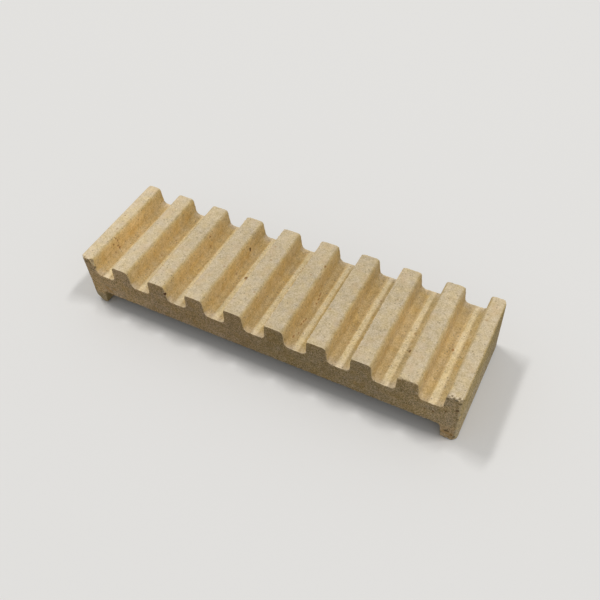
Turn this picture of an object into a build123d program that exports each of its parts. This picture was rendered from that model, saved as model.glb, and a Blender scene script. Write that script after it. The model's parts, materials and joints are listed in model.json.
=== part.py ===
from build123d import *
import math
import os

# A notched kiln post: one bar of fired refractory with a row of teeth along its top.
# Thin ware stands on edge in the slots, and a foot at each end lifts the bar off the shelf.
# X runs along the bar, Y across it and Z up. The origin lies midway between the two soles.

# Along the bar, measured at the tooth tops, in millimetres
slot_count = 9
slot_width = 15.0
tooth_width = 12.0
end_tooth_width = 9.5

# Up the bar
foot_height = 11.0
web_thickness = 16.5
slot_depth = 12.5

# Across the bar
bar_width = 75.0

# Each foot, measured at its sole
sole_width = 9.5

# Draft that lets the mould lift off, in degrees from the vertical
slot_draft = 4.5
foot_draft = 6.0

# Moulded corners of the section
tooth_radius = 2.4
end_tooth_radius = 1.5
slot_floor_radius = 3.0
foot_root_radius = 2.0
sole_radius = 1.2

# Upright corners at the two ends of the bar
end_corner_radius = 3.0

# Broken edge all round the two long faces
arris_width = 0.2

# What follows from those sizes
slot_pitch = slot_width + tooth_width
bar_length = slot_count * slot_pitch - tooth_width + 2 * end_tooth_width
floor_height = foot_height + web_thickness
bar_height = floor_height + slot_depth
slot_taper = slot_depth * math.tan(math.radians(slot_draft))
foot_taper = foot_height * math.tan(math.radians(foot_draft))

LEVEL_TOLERANCE = 1e-3


def plain_bar():
    """Side view of the bar before it is notched: a slab on two tapered feet."""
    end = bar_length / 2
    sole_edge = end - sole_width
    root_edge = sole_edge - foot_taper
    right_half = [
        (end, bar_height),
        (end, 0),
        (sole_edge, 0),
        (root_edge, foot_height),
    ]
    left_half = [(-x, z) for x, z in reversed(right_half)]
    return make_face(Polyline(right_half + left_half, close=True))


def slots():
    """Side view of all the slots, each wider at its mouth than at its floor."""
    mouth = slot_width / 2
    floor = mouth - slot_taper
    one_slot = Polygon(
        (-mouth, bar_height),
        (-floor, floor_height),
        (floor, floor_height),
        (mouth, bar_height),
        align=None,
    )
    return GridLocations(slot_pitch, 0, slot_count, 1) * one_slot


def corners_at(section, level):
    """The section's corners at one height, from left to right."""
    row = section.vertices().filter_by_position(
        Axis.Y, level - LEVEL_TOLERANCE, level + LEVEL_TOLERANCE
    )
    return row.sort_by(Axis.X)


def rounded_section():
    """Side view of the finished bar, with every moulded corner rounded."""
    section = plain_bar() - slots()
    section = fillet(corners_at(section, bar_height)[1:-1], tooth_radius)
    top_ends = section.vertices().group_by(Axis.Y)[-1].sort_by(Axis.X)
    section = fillet([top_ends[0], top_ends[-1]], end_tooth_radius)
    section = fillet(corners_at(section, floor_height), slot_floor_radius)
    section = fillet(corners_at(section, foot_height), foot_root_radius)
    return fillet(corners_at(section, 0), sole_radius)


def kiln_post():
    """The section drawn out to the bar's width, with broken long edges and round end corners."""
    bar = extrude(Plane.XZ * rounded_section(), bar_width / 2, both=True)
    long_faces = bar.faces().filter_by(Axis.Y)
    bar = chamfer(long_faces.edges(), arris_width)
    plan = RectangleRounded(bar_length, bar_width, end_corner_radius)
    return bar & extrude(plan, bar_height)


os.makedirs("parts", exist_ok=True)
export_step(kiln_post(), "parts/kiln_post.step")
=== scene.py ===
import json
import math

import bpy
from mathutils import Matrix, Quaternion, Vector
from mathutils.bvhtree import BVHTree
from mathutils.kdtree import KDTree

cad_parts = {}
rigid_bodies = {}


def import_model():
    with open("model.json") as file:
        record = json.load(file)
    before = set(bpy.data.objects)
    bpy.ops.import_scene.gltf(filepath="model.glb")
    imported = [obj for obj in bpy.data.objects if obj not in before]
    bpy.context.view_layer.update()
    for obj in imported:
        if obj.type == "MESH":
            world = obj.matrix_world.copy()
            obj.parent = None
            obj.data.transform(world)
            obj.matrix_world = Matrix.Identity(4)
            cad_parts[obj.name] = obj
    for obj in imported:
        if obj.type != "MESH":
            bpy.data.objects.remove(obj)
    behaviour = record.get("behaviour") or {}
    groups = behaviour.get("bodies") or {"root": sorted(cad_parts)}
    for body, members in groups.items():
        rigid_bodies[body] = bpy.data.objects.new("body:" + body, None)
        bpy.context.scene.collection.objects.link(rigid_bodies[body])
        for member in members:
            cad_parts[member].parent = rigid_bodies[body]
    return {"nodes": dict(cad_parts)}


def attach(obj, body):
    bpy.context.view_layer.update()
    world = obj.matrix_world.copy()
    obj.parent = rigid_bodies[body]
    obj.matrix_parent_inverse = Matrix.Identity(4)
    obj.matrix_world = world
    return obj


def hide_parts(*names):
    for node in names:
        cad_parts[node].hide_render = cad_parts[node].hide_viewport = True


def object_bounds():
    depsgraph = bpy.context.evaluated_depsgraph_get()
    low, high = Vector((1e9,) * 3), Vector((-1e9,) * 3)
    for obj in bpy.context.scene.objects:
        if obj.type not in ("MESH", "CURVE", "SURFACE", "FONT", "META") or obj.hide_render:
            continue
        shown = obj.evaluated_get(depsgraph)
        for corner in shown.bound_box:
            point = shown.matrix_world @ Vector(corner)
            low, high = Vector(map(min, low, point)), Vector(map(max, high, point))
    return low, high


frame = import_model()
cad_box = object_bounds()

MM = 0.001

# The fired bar. It is one piece of buff refractory, pressed in a steel mould and fired once, with
# nothing fixed to it. It keeps the solid's own shape, which handling has chipped and rubbed.
cad_post = frame["nodes"]["kiln_post"]
post = bpy.data.objects.new("notched_bar", cad_post.data.copy())
bpy.context.collection.objects.link(post)


def work_on(piece):
    """Makes a piece the only one that the next operators act on."""
    bpy.ops.object.select_all(action="DESELECT")
    piece.select_set(True)
    bpy.context.view_layer.objects.active = piece


def finish_with(piece, kind, **settings):
    """Adds a modifier with these settings and applies it."""
    work_on(piece)
    modifier = piece.modifiers.new(kind.lower(), kind)
    for name, value in settings.items():
        setattr(modifier, name, value)
    bpy.ops.object.modifier_apply(modifier=modifier.name)


def start_piece(name):
    """Opens a new, empty piece in edit mode."""
    piece = bpy.data.objects.new(name, bpy.data.meshes.new(name))
    bpy.context.collection.objects.link(piece)
    work_on(piece)
    bpy.ops.object.mode_set(mode="EDIT")
    return piece


weld_gap = 0.002 * MM
work_on(post)
bpy.ops.object.mode_set(mode="EDIT")
bpy.ops.mesh.select_all(action="SELECT")
bpy.ops.mesh.remove_doubles(threshold=weld_gap)
bpy.ops.object.mode_set(mode="OBJECT")

# Teeth four to eight came out of the mould with a sharper left arris than the others. Each gets a square
# lip of clay in its rounded corner, given by the slot to its left, counted from the middle one, and its size.
slot_pitch = 27.0
lip_start = 7.55
lip_top = 39.95
lip_length = 74.6
lip_sizes = {-2: 0.9, -1: 1.2, 0: 1.4, 1: 1.3, 2: 1.0}
lips = start_piece("lips")
for slot, lip_size in lip_sizes.items():
    corner = Vector((slot_pitch * slot + lip_start, 0, lip_top)) * MM
    reach = Vector((lip_size, 0, -lip_size)) * MM / 2
    block = Vector((lip_size, lip_length, lip_size)) * MM
    bpy.ops.mesh.primitive_cube_add(size=1, location=corner + reach, scale=block)
bpy.ops.object.mode_set(mode="OBJECT")

# Knocks and open pores. A chip is a lump of grog that has broken away, so each cutter is a rough ball
# set into the arris or face that it came from: its place, then its half sizes, in millimetres.
chips = (
    # near left corner
    ((-124.0, -37.6, 39.8), (1.8, 1.6, 1.0)),
    ((-124.6, -37.2, 36.9), (1.0, 1.1, 1.1)),
    ((-124.8, -37.0, 33.8), (0.9, 1.0, 1.2)),
    ((-122.0, -38.1, 39.8), (1.1, 1.2, 0.8)),
    ((-120.2, -38.2, 40.0), (1.0, 1.3, 0.9)),
    ((-115.6, -38.0, 40.5), (2.4, 2.0, 5.5)),
    ((-114.9, -38.2, 32.6), (0.9, 1.3, 1.6)),
    # near edge of tooth nine
    ((89.4, -37.9, 41.2), (2.8, 1.6, 2.9)),
    ((93.8, -38.0, 41.2), (3.4, 1.5, 2.2)),
    ((98.2, -38.0, 41.0), (3.0, 1.3, 1.6)),
    # near face of the left end tooth
    ((-120.8, -37.8, 37.2), (1.3, 0.6, 0.8)),
    ((-117.6, -37.8, 30.2), (1.0, 0.6, 0.8)),
    # near left foot
    ((-125.6, -38.4, 0.6), (5.6, 4.0, 4.6)),
    ((-114.4, -38.6, 0.0), (2.0, 3.0, 1.6)),
    ((-119.6, -38.8, -0.8), (3.6, 2.4, 1.8)),
    # near right end tooth and the upright edge below it
    ((115.8, -38.2, 39.6), (1.8, 1.5, 2.2)),
    ((118.2, -38.3, 40.2), (1.2, 1.9, 1.4)),
    ((120.3, -38.2, 40.2), (1.0, 1.4, 1.0)),
    ((122.4, -38.0, 39.9), (1.4, 1.3, 1.2)),
    ((124.6, -37.4, 38.6), (1.4, 1.3, 1.6)),
    ((124.8, -37.3, 33.2), (0.9, 0.9, 1.4)),
    ((124.8, -37.3, 25.6), (0.8, 0.9, 1.3)),
    ((124.8, -37.2, 16.5), (0.7, 0.8, 1.6)),
    # near right foot
    ((125.2, -37.8, -0.2), (2.2, 2.4, 1.5)),
    ((119.9, -38.2, -0.3), (0.8, 2.0, 1.1)),
)
pores = (
    # near face of tooth three and the flank of tooth four
    ((-61.1, -37.5, 33.6), (1.1, 1.0, 1.0)),
    ((-34.0, 17.9, 32.8), (0.9, 0.6, 1.3)),
    # flank of the left end tooth
    ((-115.1, -12.8, 35.3), (0.5, 0.7, 0.6)),
    ((-115.2, -17.1, 35.4), (0.4, 0.6, 0.5)),
    ((-114.9, -14.0, 31.9), (0.5, 0.7, 0.5)),
    ((-114.7, -13.4, 29.9), (0.5, 0.8, 0.6)),
    ((-115.3, -13.4, 37.5), (0.4, 0.6, 0.5)),
    # scratches along the floor of slot six
    ((21.2, 6.8, 28.1), (0.3, 0.6, 0.35)),
    ((21.4, 5.2, 28.0), (0.3, 0.7, 0.35)),
    ((21.9, 2.5, 27.7), (0.35, 0.9, 0.4)),
    ((22.2, -1.0, 27.6), (0.3, 0.6, 0.35)),
    ((22.0, -14.5, 27.7), (0.35, 0.9, 0.4)),
    ((21.7, -16.5, 27.8), (0.35, 0.8, 0.4)),
    ((21.6, -19.1, 27.9), (0.3, 0.9, 0.35)),
    ((22.9, -25.1, 27.5), (0.3, 0.5, 0.35)),
    ((21.6, -28.9, 27.9), (0.35, 1.0, 0.4)),
    # flank of tooth three, shoulder of tooth six and floor of slot eight
    ((-61.2, 14.3, 35.9), (0.7, 0.8, 0.7)),
    ((19.1, 18.6, 39.2), (0.7, 0.8, 0.6)),
    ((85.5, -10.3, 27.6), (0.5, 0.9, 0.5)),
    # near face towards the right end, and the near right foot
    ((105.3, -37.5, 20.0), (0.5, 0.5, 0.5)),
    ((109.9, -37.5, 20.8), (0.6, 0.5, 0.6)),
    ((116.6, -37.5, 25.2), (0.5, 0.5, 0.5)),
    ((122.5, -37.5, 29.3), (0.8, 0.8, 0.9)),
    ((118.9, -37.5, 7.1), (1.3, 0.6, 0.6)),
    ((78.1, -37.5, 20.4), (0.6, 0.6, 0.5)),
    # floor of slot four
    ((-27.0, -0.5, 27.5), (0.8, 1.0, 0.8)),
)
ball_roughness = 0.16
cutters = start_piece("cutters")
for seed, (centre, half_sizes) in enumerate(chips + pores):
    bpy.ops.mesh.primitive_ico_sphere_add(
        subdivisions=3, radius=1, location=Vector(centre) * MM, scale=Vector(half_sizes) * MM
    )
    bpy.ops.transform.vertex_random(offset=ball_roughness * min(half_sizes) * MM, normal=0.6, seed=seed)
bpy.ops.object.mode_set(mode="OBJECT")
finish_with(post, "BOOLEAN", object=cutters, operation="DIFFERENCE", solver="EXACT", use_self=True)
bpy.data.objects.remove(cutters)

# The skin. Pressing leaves it a little uneven, and handling has rubbed every arris ragged.
# The bar is meshed evenly first, which also fuses the lips to it.
voxel_size = 0.42 * MM
work_on(post)
lips.select_set(True)
bpy.ops.object.join()
finish_with(post, "REMESH", mode="VOXEL", voxel_size=voxel_size)

sharp_turn = math.radians(24)
work_on(post)
bpy.ops.object.mode_set(mode="EDIT")
bpy.ops.mesh.select_mode(type="EDGE")
bpy.ops.mesh.select_all(action="DESELECT")
bpy.ops.mesh.edges_select_sharp(sharpness=sharp_turn)
bpy.ops.mesh.select_mode(type="VERT")
bpy.ops.mesh.select_more()
post.vertex_groups.new(name="arrises")
bpy.ops.object.vertex_group_assign()
bpy.ops.object.mode_set(mode="OBJECT")

# The upright corners are rubbed back, the near right one least.
corner_reach = 4.2 * MM
corner_wear = 0.8
near_right_wear = 0.35
corners = post.vertex_groups.new(name="corners")
for vertex in post.data.vertices:
    gap = math.hypot(cad_box[1][0] - abs(vertex.co.x), cad_box[1][1] - abs(vertex.co.y))
    if gap < corner_reach and abs(vertex.normal.z) < 0.6:
        wear = near_right_wear if vertex.co.x > 0 and vertex.co.y < 0 else corner_wear
        corners.add([vertex.index], wear * (1 - gap / corner_reach) ** 1.5, "REPLACE")

# Broken grog is coarser than the moulded skin beside it.
scar_depth = 0.25 * MM
cad_skin = BVHTree.FromPolygons(
    [vertex.co for vertex in cad_post.data.vertices], [face.vertices for face in cad_post.data.polygons]
)
scars = post.vertex_groups.new(name="scars")
for vertex in post.data.vertices:
    depth = cad_skin.find_nearest(vertex.co)[3]
    if depth > scar_depth:
        scars.add([vertex.index], min(1.0, depth / MM), "REPLACE")


def roughen(name, size, octaves, depth, level, group="", contrast=1.0, brightness=1.0):
    """Pushes the skin in by a cloudy pattern; its size and depth are in millimetres."""
    pattern = bpy.data.textures.new(name, "CLOUDS")
    pattern.noise_scale = size * MM
    pattern.noise_depth = octaves
    pattern.contrast = contrast
    pattern.intensity = brightness
    finish_with(
        post,
        "DISPLACE",
        texture=pattern,
        texture_coords="LOCAL",
        strength=depth * MM,
        mid_level=level,
        vertex_group=group,
    )


roughen("waves", size=16, octaves=2, depth=0.18, level=1.1)
roughen("rubs", size=5, octaves=3, depth=1.1, level=1.0, group="corners")
roughen("crumbs", size=1.1, octaves=2, depth=0.22, level=1.0, group="arrises", contrast=2.4, brightness=1.25)
roughen("lumps", size=1.0, octaves=1, depth=0.6, level=0.7, group="scars", contrast=2.0)

# Marks that are only coloured: rust from iron in the clay, single pale and dark grains of grog, and painted
# shade in open pores, some of it among the dark grains. Each has its place, then its half sizes, in
# millimetres.
stains = (
    # near right foot
    ((118.2, -37.5, 5.6), (1.9, 1.0, 1.2)),
    ((121.6, -37.5, 5.0), (0.9, 1.0, 0.9)),
    # near face above the left foot
    ((-110.6, -37.5, 16.6), (1.4, 1.0, 1.4)),
    ((-108.8, -37.5, 14.0), (1.6, 1.0, 1.3)),
    ((-104.8, -37.5, 18.0), (1.6, 1.0, 0.7)),
)
rust_spots = (
    # floor of slot nine
    ((106.8, 0.8, 27.5), (0.5, 0.7, 0.4)),
    # near right foot
    ((118.9, -37.5, 7.1), (1.3, 0.9, 0.6)),
    ((121.7, -37.5, 4.9), (0.5, 0.8, 0.5)),
)
pale_grains = (
    # near edge of the right end tooth
    ((118.5, -35.3, 40.0), (0.9, 1.0, 1.0)),
    ((118.5, -37.2, 39.6), (0.8, 0.9, 1.0)),
    ((120.9, -37.1, 39.6), (0.7, 0.8, 1.0)),
    ((116.8, -36.9, 39.4), (0.8, 0.9, 1.0)),
    # near left corner
    ((-123.2, -36.8, 38.0), (0.7, 1.0, 0.7)),
    ((-123.6, -36.9, 35.5), (0.6, 1.0, 0.6)),
    ((-118.6, -36.5, 39.7), (0.9, 0.8, 1.0)),
    ((-123.2, -36.6, 39.5), (0.9, 0.8, 1.0)),
    ((-120.6, -35.1, 40.0), (0.6, 0.6, 0.8)),
    # near right upright edge
    ((123.9, -36.9, 25.9), (0.5, 0.8, 0.8)),
    ((123.9, -36.9, 10.0), (0.5, 0.8, 0.7)),
    ((123.9, -36.9, 16.4), (0.4, 0.8, 0.6)),
)
# Painted shade, near black, in three open pores cut at the same places.
pit_shades = (
    # teeth three and four, and floor of slot four
    ((-61.1, -37.5, 33.6), (1.1, 1.1, 1.0)),
    ((-34.0, 17.9, 32.8), (0.9, 0.7, 1.2)),
    ((-27.0, -0.5, 27.5), (0.8, 0.9, 0.7)),
)
dark_grains_and_pore_shade = (
    # right end tooth
    ((118.3, -36.2, 39.8), (0.5, 0.5, 0.8)),
    ((122.4, -36.2, 40.0), (0.6, 0.6, 0.8)),
    ((119.7, -37.1, 39.6), (0.5, 0.5, 0.8)),
    ((116.5, -37.5, 37.2), (0.8, 0.8, 0.8)),
    ((121.0, -37.5, 38.3), (0.9, 0.8, 0.5)),
    ((123.5, -37.0, 35.9), (0.9, 1.0, 0.8)),
    ((115.3, -37.5, 30.4), (0.6, 0.8, 0.6)),
    # left end tooth
    ((-120.7, -37.3, 36.8), (0.9, 0.9, 0.7)),
    ((-118.8, -37.3, 39.1), (0.7, 0.8, 0.5)),
    ((-117.9, -37.3, 36.5), (0.6, 0.9, 0.6)),
    ((-115.0, -37.0, 33.4), (0.7, 0.8, 0.7)),
    ((-117.3, -37.3, 30.4), (0.7, 0.9, 0.6)),
    ((-121.8, -36.4, 39.8), (0.5, 0.5, 0.8)),
    # near right upright edge, then painted shade in the pores on the near face beside it, the floor of slot
    # eight and the near right foot
    ((123.4, -37.2, 3.4), (0.7, 0.9, 0.8)),
    ((123.4, -37.2, 21.2), (0.6, 0.9, 0.7)),
    ((122.5, -37.5, 29.3), (0.8, 0.9, 0.9)),
    ((85.5, -10.3, 27.6), (0.5, 0.9, 0.5)),
    ((118.9, -37.5, 7.1), (1.3, 0.9, 0.6)),
)


def closeness(marks):
    """For each vertex, 1 inside any of the marks, falling to 0 half as far out again."""
    tree = KDTree(len(post.data.vertices))
    for vertex in post.data.vertices:
        tree.insert(vertex.co, vertex.index)
    tree.balance()
    values = [0.0] * len(post.data.vertices)
    for centre, half_sizes in marks:
        for point, index, gap in tree.find_range(Vector(centre) * MM, 1.5 * max(half_sizes) * MM):
            offset = [(here / MM - there) / half for here, there, half in zip(point, centre, half_sizes)]
            values[index] = max(values[index], min(1.0, 3.0 - 2.0 * math.hypot(*offset)))
    return values


def mark(name, values):
    """Stores one value per vertex for the material to read."""
    layer = post.data.attributes.new(name, "FLOAT", "POINT")
    layer.data.foreach_set("value", values)


# The mesh stays fine at the marks and is thinned elsewhere.
triangle_budget = 190_000
triangles_now = sum(len(face.vertices) - 2 for face in post.data.polygons)
details = post.vertex_groups.new(name="details")
for index, value in enumerate(closeness(chips + pores + stains + rust_spots + pale_grains + dark_grains_and_pore_shade)):
    if value > 0:
        details.add([index], 1.0, "REPLACE")
finish_with(
    post, "DECIMATE", ratio=triangle_budget / triangles_now, vertex_group="details", invert_vertex_group=True
)

# No loose grain stands proud of the moulded faces.
for vertex in post.data.vertices:
    vertex.co = [min(max(value, low), high) for value, low, high in zip(vertex.co, *cad_box)]
crease = math.radians(40)
work_on(post)
bpy.ops.object.shade_smooth_by_angle(angle=crease)

# How far each point lies from the moulded skin, and how near it is to each kind of mark.
mark("broken", [cad_skin.find_nearest(vertex.co)[3] / MM for vertex in post.data.vertices])
mark("pore", closeness(pores + rust_spots))
mark("pit_shade", closeness(pit_shades))
mark("stain", closeness(stains))
mark("pale_grain", closeness(pale_grains))
mark("dark_grain_and_pore_shade", closeness(dark_grains_and_pore_shade))

# The clay. It fires to a matt ochre, paler where the teeth are rubbed. Light and shade are painted into it as
# well: a pool of light along each slot floor, shade on either side of it and on the tooth shoulders, and
# lighter ends. Iron in it leaves rust, and the crushed grog in it shows as pale and dark grains.
clay = bpy.data.materials.new("buff_refractory")
clay.use_nodes = True
clay_shader = clay.node_tree.nodes["Principled BSDF"]
clay_shader.inputs["Roughness"].default_value = 0.9
clay_shader.inputs["Specular IOR Level"].default_value = 0.2


class Paint:
    """A value in a node tree; sums and products of values add their own nodes."""

    def __init__(self, tree, socket=None):
        self.tree = tree
        self.socket = socket

    def node(self, kind, settings=None, sockets=None, output=0):
        """Adds a node: its settings first, then the values or links of its sockets."""
        made = self.tree.nodes.new(kind)
        for name, value in (settings or {}).items():
            setattr(made, name, value)
        for name, value in (sockets or {}).items():
            if isinstance(value, Paint):
                self.tree.links.new(value.socket, made.inputs[name])
            else:
                made.inputs[name].default_value = value
        return Paint(self.tree, made.outputs[output])

    def feed(self, socket):
        """Links this value to a shader's socket."""
        self.tree.links.new(self.socket, socket)

    def math(self, operation, *values):
        """A value worked out from others by one operation."""
        return self.node("ShaderNodeMath", {"operation": operation}, dict(enumerate(values)))

    def __add__(self, other):
        return self.math("ADD", self, other)

    def __sub__(self, other):
        return self.math("SUBTRACT", self, other)

    def __rsub__(self, other):
        return self.math("SUBTRACT", other, self)

    def __mul__(self, other):
        return self.math("MULTIPLY", self, other)

    __radd__ = __add__
    __rmul__ = __mul__

    def rise(self, low, high):
        """0 below the low value, 1 above the high one, and smooth between them."""
        return self.node(
            "ShaderNodeMapRange",
            {"interpolation_type": "SMOOTHSTEP"},
            {"Value": self, "From Min": low, "From Max": high},
        )

    def tint(self, colour, amount):
        """This colour turned towards another one."""
        return self.node("ShaderNodeMix", {"data_type": "RGBA"}, {0: amount, 6: self, 7: colour}, 2)

    def shade(self, amount):
        """This colour multiplied by a value."""
        return self.node("ShaderNodeVectorMath", {"operation": "SCALE"}, {0: self, "Scale": amount})

    def warm(self, amount):
        """This colour with less blue and a little less green where the value is high."""
        gains = self.node("ShaderNodeCombineXYZ", sockets={"X": 1.0, "Y": 1 - 0.2 * amount, "Z": 1 - amount})
        return self.node("ShaderNodeVectorMath", {"operation": "MULTIPLY"}, {0: self, 1: gains})


paint = Paint(clay.node_tree)
place = paint.node("ShaderNodeTexCoord", output="Object")
facing = paint.node("ShaderNodeTexCoord", output="Normal")


def part_of(vector, axis):
    """One axis of a vector."""
    return paint.node("ShaderNodeSeparateXYZ", sockets={0: vector}, output=axis)


def size_of(value):
    """A value without its sign."""
    return paint.math("ABSOLUTE", value)


def stored(name):
    """A value that was marked on the mesh."""
    return paint.node("ShaderNodeAttribute", {"attribute_name": name}, output="Fac")


def noise(scale, detail=2.0, rough=0.5):
    """Cloudy noise, 0.5 on average; the scale is in clouds a metre."""
    return paint.node(
        "ShaderNodeTexNoise", sockets={"Vector": place, "Scale": scale, "Detail": detail, "Roughness": rough}
    )


def dots(scale, heart, rim):
    """1 at the hearts of scattered dots and 0 beyond their rims."""
    distance = paint.node("ShaderNodeTexVoronoi", sockets={"Vector": place, "Scale": scale})
    return 1 - distance.rise(heart, rim)


# Places on the bar, in millimetres, and the way that its skin faces there.
along = part_of(place, "X") * (1 / MM)
across = part_of(place, "Y") * (1 / MM)
height = part_of(place, "Z") * (1 / MM)
facing_up = part_of(facing, "Z")
sideways = size_of(part_of(facing, "Y"))
endways = size_of(part_of(facing, "X"))
from_middle = size_of(along)
off_centre = size_of(across)
slots_along = along * (1 / slot_pitch)
slot_offset = paint.math("WRAP", along, slot_pitch / 2, -slot_pitch / 2)

# The regions that differ in colour, several of them painted light and shade. A painted pool of light, where
# both lamps reach the floor, runs along each slot floor, and it lies further to the right in the slots
# towards the right end of the bar.
on_tooth = height.rise(33, 38)
top = facing_up.rise(0.6, 0.95) * on_tooth
# The roundings from the tops down to the flanks are painted in shade.
shoulder_shade = facing_up.rise(0.35, 0.7) * (1 - facing_up.rise(0.84, 0.97)) * on_tooth
above_web = height.rise(26, 27)
on_floor = facing_up.rise(0.85, 0.99) * (1 - height.rise(29, 31)) * above_web
in_slot = facing_up.rise(0.1, 0.3) * (1 - height.rise(29.5, 32)) * above_web
strip_left = slot_offset + 1.75 - 0.21 * slots_along - 0.022 * slots_along * slots_along - 0.02 * across
strip_right = paint.math("MAXIMUM", 0.53 * slots_along + 1.0, 1.5) - slot_offset
strip_fade = 0.6
in_lit_strip = strip_left.rise(-strip_fade, strip_fade) * strip_right.rise(-strip_fade, strip_fade)
# The strip on each slot floor is painted light.
lit_strip = on_floor * in_lit_strip
# Beside the lit strip the fillets and floor lie in a tooth's shadow, and they are painted in shade as a
# darker tan, with painted light lifting the left side in the right-hand slots.
shaded_slot_corner = in_slot * (1 - in_lit_strip) * (1 - size_of(slot_offset).rise(6.3, 7.0))
shaded_right_corner = shaded_slot_corner * slot_offset.rise(0, 1)
shaded_left_corner = shaded_slot_corner - shaded_right_corner
# Near the open ends of the slots light reaches the floor past the teeth, and that light is painted there.
lit_slot_mouth = in_slot * off_centre.rise(31.5, 36.5)
long_face = sideways.rise(0.8, 0.95)
at_end = endways.rise(0.6, 0.9) * from_middle.rise(118.5, 119.5)
flank = endways.rise(0.7, 0.9) * (1 - at_end) * height.rise(26, 28)
# Near the near right upright corner the light is painted: past a ragged line the rounding is painted lighter,
# lit like the end face, and the near face just before it is painted darker, in shade.
edge_lean = 0.7 * height.rise(20, 30) + 0.6 * height.rise(30, 37)
ragged = from_middle + 1.6 * (noise(420) - 0.5)
past_edge = (ragged + edge_lean).rise(123.3, 123.9)
upright_edge_light_and_wear = sideways.rise(0.2, 0.6) * past_edge
near_edge_shade = sideways.rise(0.3, 0.5) * (from_middle + edge_lean).rise(121.6, 123.4) * (1 - past_edge)
# The arrises take a pale tint, partly wear and partly a painted highlight.
arris_wear_and_highlight = off_centre.rise(36.3, 36.9) * (1 - long_face) * (1 - at_end)
right_foot = along.rise(113, 115) * (1 - height.rise(10, 13)) * long_face
left_foot = (1 - along.rise(-115, -113)) * (1 - height.rise(7, 10)) * long_face

# The colours of the regions, from the flanks' ochre on.
ochre = (0.69, 0.512, 0.24, 1)
honey = (0.655, 0.52, 0.30, 1)
buff = (0.565, 0.457, 0.291, 1)
shoulder_shade_tan = (0.55, 0.425, 0.225, 1)
left_shade_tan = (0.57, 0.417, 0.195, 1)
left_lit_gold = (0.66, 0.49, 0.24, 1)
right_shade_tan = (0.59, 0.46, 0.23, 1)
lit_straw = (0.645, 0.53, 0.315, 1)
lit_mouth_cream = (0.69, 0.56, 0.385, 1)
end_gold = (0.64, 0.475, 0.20, 1)
face_tan = (0.69, 0.485, 0.252, 1)
base = paint.node("ShaderNodeRGB")
base.socket.default_value = ochre
colour = base.tint(honey, along.rise(20, 100) * 0.5)
colour = colour.tint(buff, top)
# Painted shade on the tooth shoulders.
colour = colour.tint(shoulder_shade_tan, shoulder_shade * 0.8)
# Painted shade on the slot sides beside the strip, and painted light on their left side towards the right
# end.
colour = colour.tint(left_shade_tan, shaded_left_corner * 0.8)
colour = colour.tint(left_lit_gold, shaded_left_corner * along.rise(15, 80) * 0.8)
colour = colour.tint(right_shade_tan, shaded_right_corner * 0.8)
# Painted light along the middle of each slot floor.
colour = colour.tint(lit_straw, lit_strip)
# Painted light at the slot mouths.
colour = colour.tint(lit_mouth_cream, lit_slot_mouth * 0.6)
colour = colour.tint(buff, at_end * 0.4 * (1 - height.rise(10, 26)))
colour = colour.tint(end_gold, at_end * 0.7 * height.rise(12, 30))
colour = colour.tint(face_tan, long_face * (1 - 0.5 * along.rise(-20, 20)))

# Uneven firing clouds the colour, and the grain of the clay is coarser on the long faces and the ends.
rose = (0.60, 0.44, 0.27, 1)
rust = (0.52, 0.32, 0.13, 1)
cloudy = noise(45, 3) - 0.5
mottle = noise(190) - 0.5
blotch = noise(300, 3, 0.6) - 0.5
grain = noise(900, 3, 0.7) - 0.5
grit = noise(1500, 2, 0.6) - 0.5
coarse = paint.math("MAXIMUM", long_face, at_end)
fine = grain * (0.8 + 0.9 * coarse) + grit * (0.7 + 1.7 * coarse)
off_the_pale = (1 - top) * (1 - lit_strip)
colour = colour.shade(1 + 0.28 * cloudy + 0.15 * mottle + 0.6 * blotch + fine)
colour = colour.warm(-0.6 * fine)
colour = colour.tint(rose, noise(110).rise(0.5, 0.7) * top * 0.35)
colour = colour.tint(rust, noise(170).rise(0.56, 0.72) * off_the_pale * 0.22)
colour = colour.warm(0.4 * (noise(170, 1) - 0.5))
colour = colour.warm(0.55 * (noise(120) - 0.5) * off_the_pale)

# Painted light and shade: the ends of the bar are painted lighter than its middle, the long faces darker,
# most in their middle, and lighter towards the right, the flanks darker low down, the lit strips lighter or
# darker from slot to slot, the shaded left side of the slot floors darker, and the end faces lighter towards
# the near side. The bow is 1 at 100 mm from the darkest place.
darkest_place = 24
from_darkest = (along - darkest_place) * (1 / 100)
bow = from_darkest * from_darkest
upper = paint.math("MAXIMUM", top, on_floor)
painted_lightness = 1.04 - 0.04 * upper - 0.225 * long_face + 0.045 * top * off_centre.rise(18, 34)
# Painted shade: the flanks darker low down in the slots.
painted_lightness = painted_lightness + flank * (0.01 + 0.03 * bow - 0.07 * (1 - height.rise(30, 36.5)))
painted_lightness = painted_lightness + 0.13 * lit_strip * slot_offset.rise(0.8, 2.0) * along.rise(54, 100)
painted_lightness = painted_lightness - 0.05 * lit_strip * (1 - along.rise(-60, 0))
painted_lightness = painted_lightness + 0.05 * lit_strip * along.rise(30, 50) * (1 - along.rise(60, 75))
painted_lightness = painted_lightness - 0.15 * shaded_left_corner * slot_offset.rise(-2.9, -1.9) * along.rise(30, 90)
painted_lightness = painted_lightness + 0.09 * long_face * along.rise(55, 115)
painted_lightness = painted_lightness + (0.04 + 0.076 * upper + 0.175 * long_face) * bow * (1 - at_end)
# Everything but the tops is drawn darker towards the back, the slot floors less so.
painted_lightness = painted_lightness * (1 - 0.09 * across.rise(0, 30) * (1 - top) * (1 - 0.5 * on_floor))
painted_lightness = painted_lightness + at_end * (0.06 - 0.14 * across.rise(-20, 25) - 0.07 * height.rise(32, 36))
# The near right foot is drawn lighter.
painted_lightness = painted_lightness + 0.26 * right_foot
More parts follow.
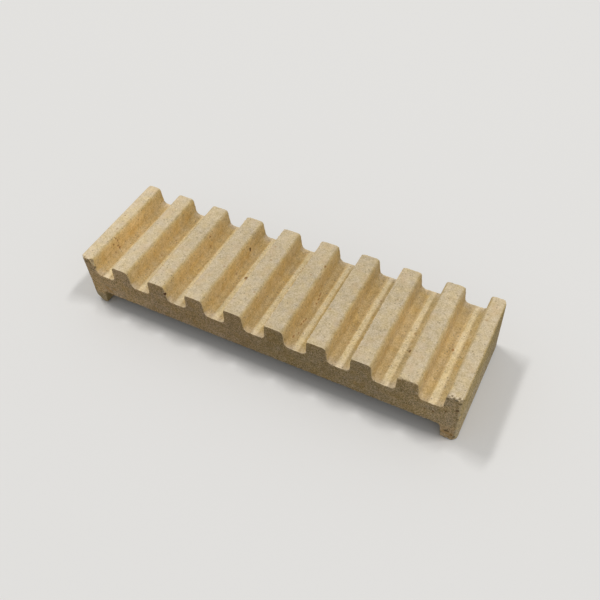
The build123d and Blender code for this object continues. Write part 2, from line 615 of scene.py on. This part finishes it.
# Painted shade on the near face before the near right upright edge, and painted light past it, on the
# rounding.
colour = colour.shade(painted_lightness * (1 - 0.2 * near_edge_shade + 0.2 * upright_edge_light_and_wear))
left_foot_buff = (0.58, 0.48, 0.28, 1)
right_foot_tan = (0.64, 0.42, 0.23, 1)
colour = colour.tint(left_foot_buff, left_foot * 0.6)
colour = colour.tint(right_foot_tan, right_foot * 0.4)

# Worn arrises and broken grog show cream and dark grains. The cream along the arrises is partly wear and
# partly a painted highlight where the lamps catch them.
cream = (0.80, 0.68, 0.47, 1)
fresh_clay = (0.84, 0.67, 0.43, 1)
grog_brown = (0.30, 0.21, 0.11, 1)
lump = paint.node("ShaderNodeTexVoronoi", sockets={"Vector": place, "Scale": 800.0}, output="Color")
worn = stored("broken").rise(0.22, 0.50)
colour = colour.tint(cream, arris_wear_and_highlight * 0.15)
# Pale worn grains on the upright edge past the painted line.
colour = colour.tint(fresh_clay, upright_edge_light_and_wear * lump * 0.35)
colour = colour.tint(fresh_clay, worn * (0.25 + 0.55 * lump))
colour = colour.tint(grog_brown, worn * noise(700).rise(0.56, 0.66) * 0.55)

# Specks lie all over the bar, and the marks lie where they were placed.
pit_brown = (0.33, 0.24, 0.13, 1)
speck_grey = (0.30, 0.235, 0.15, 1)
iron_brown = (0.36, 0.20, 0.08, 1)
stain_orange = (0.74, 0.45, 0.17, 1)
grain_cream = (0.80, 0.66, 0.47, 1)
pore_shade_and_rust_brown = (0.34, 0.165, 0.05, 1)
grain_and_pore_shade_brown = (0.23, 0.165, 0.08, 1)
pit_shade_black = (0.10, 0.045, 0.02, 1)
colour = colour.tint(cream, dots(270.0, 0.06, 0.16) * coarse * 0.45)
colour = colour.tint(pit_brown, dots(190.0, 0.05, 0.15) * 0.5)
colour = colour.tint(speck_grey, dots(330.0, 0.08, 0.20) * 0.7)
colour = colour.tint(iron_brown, dots(115.0, 0.04, 0.13) * 0.55)
colour = colour.tint(stain_orange, stored("stain") * blotch.rise(-0.25, 0.05) * 0.8)
colour = colour.tint(grain_cream, stored("pale_grain").rise(0.1, 0.9) * 0.55)
# The pores are tinted dark brown, painted shade in them, and the rust spots iron brown.
colour = colour.tint(pore_shade_and_rust_brown, stored("pore").rise(0.1, 0.9) * 0.8)
# Dark grog grains, and painted shade in three pores.
colour = colour.tint(grain_and_pore_shade_brown, stored("dark_grain_and_pore_shade").rise(0.2, 1.0) * 0.75)
# Painted shade in the open pores.
colour = colour.tint(pit_shade_black, stored("pit_shade").rise(0.1, 0.9) * 0.85)
colour.feed(clay_shader.inputs["Base Color"])
grain_depth = 0.3 * MM
bump = paint.node(
    "ShaderNodeBump", sockets={"Strength": 0.55, "Distance": grain_depth, "Height": 0.6 * grain + 0.4 * grit}
)
bump.feed(clay_shader.inputs["Normal"])

post.data.materials.clear()
post.data.materials.append(clay)

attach(post, "root")
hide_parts("kiln_post")

# The floor. It is a wide sheet of plain pale paper that the bar lies loose on.
# The camera sees it pale, and it throws little light back at the bar.
floor_side = 4.0
floor_drop = 0.05 * MM
paper_seen = (0.82, 0.81, 0.79, 1)
paper_unseen = (0.07, 0.07, 0.07, 1)
bpy.ops.object.select_all(action="DESELECT")
bpy.ops.mesh.primitive_plane_add(size=floor_side, location=(0, 0, -floor_drop))
floor = bpy.context.object
floor.name = "floor"
bpy.ops.object.transform_apply(location=True)
paper = bpy.data.materials.new("pale_paper")
paper.use_nodes = True
paper_shader = paper.node_tree.nodes["Principled BSDF"]
paper_shader.inputs["Roughness"].default_value = 1.0
paper_shader.inputs["Specular IOR Level"].default_value = 0.0
paper_paint = Paint(paper.node_tree)
straight = paper_paint.node("ShaderNodeLightPath", output="Is Camera Ray")
mirrored = paper_paint.node("ShaderNodeLightPath", output="Is Glossy Ray")
through = paper_paint.node("ShaderNodeLightPath", output="Is Transmission Ray")
seen = paper_paint.math("MAXIMUM", straight, paper_paint.math("MAXIMUM", mirrored, through))
paper_colour = paper_paint.node(
    "ShaderNodeMix", {"data_type": "RGBA"}, {0: seen, 6: paper_unseen, 7: paper_seen}, 2
)
paper_colour.feed(paper_shader.inputs["Base Color"])
floor.data.materials.append(paper)

# The studio. Two long soft boxes hang over the bar, one to each side and a little behind it,
# and the room adds an even low light.
room_strength = 0.42
room_strength_seen = 0.9
room = bpy.data.worlds.new("room")
bpy.context.scene.world = room
room.use_nodes = True
room_light = room.node_tree.nodes["Background"]
room_light.inputs["Color"].default_value = (1, 1, 1, 1)
room_paint = Paint(room.node_tree)
room_seen = room_paint.node("ShaderNodeLightPath", output="Is Camera Ray")
room_mix = room_paint.node(
    "ShaderNodeMix", {"data_type": "FLOAT"}, {0: room_seen, 2: room_strength, 3: room_strength_seen}
)
room_mix.feed(room_light.inputs["Strength"])

lamp_height = 5.7
lamp_behind = 0.90
lamp_length = 1.80
lamp_width = 0.45
lamp_power = 118.8
for side, lean in ((-1, 26.8), (1, 26.5)):
    lamp_data = bpy.data.lights.new("soft_box", "AREA")
    lamp_data.shape = "RECTANGLE"
    lamp_data.size = lamp_length
    lamp_data.size_y = lamp_width
    lamp_data.energy = lamp_power
    lamp = bpy.data.objects.new("soft_box", lamp_data)
    bpy.context.collection.objects.link(lamp)
    lamp.location = (side * lamp_height * math.tan(math.radians(lean)), lamp_behind, lamp_height)
    lamp.rotation_mode = "QUATERNION"
    lamp.rotation_quaternion = (-lamp.location).to_track_quat("-Z", "Y")

# The camera stands above the near right end and looks along the slots.
# Its place, aim, roll and lens are the ones that fit the bar's outline in the photo.
camera_place = Vector((157.66, -241.57, 349.37)) * MM
camera_aim = Vector((8.38, 3.35, 19.62)) * MM
camera_roll = math.radians(-4.96)
camera_data = bpy.data.cameras.new("camera")
camera_data.sensor_width = 36.0
camera_data.lens = 42.58
camera = bpy.data.objects.new("camera", camera_data)
bpy.context.collection.objects.link(camera)
camera.location = camera_place
camera.rotation_mode = "QUATERNION"
looking = (camera_aim - camera_place).normalized()
camera.rotation_quaternion = Quaternion(looking, -camera_roll) @ looking.to_track_quat("-Z", "Y")
bpy.context.scene.camera = camera
bpy.context.scene.view_settings.view_transform = "Standard"
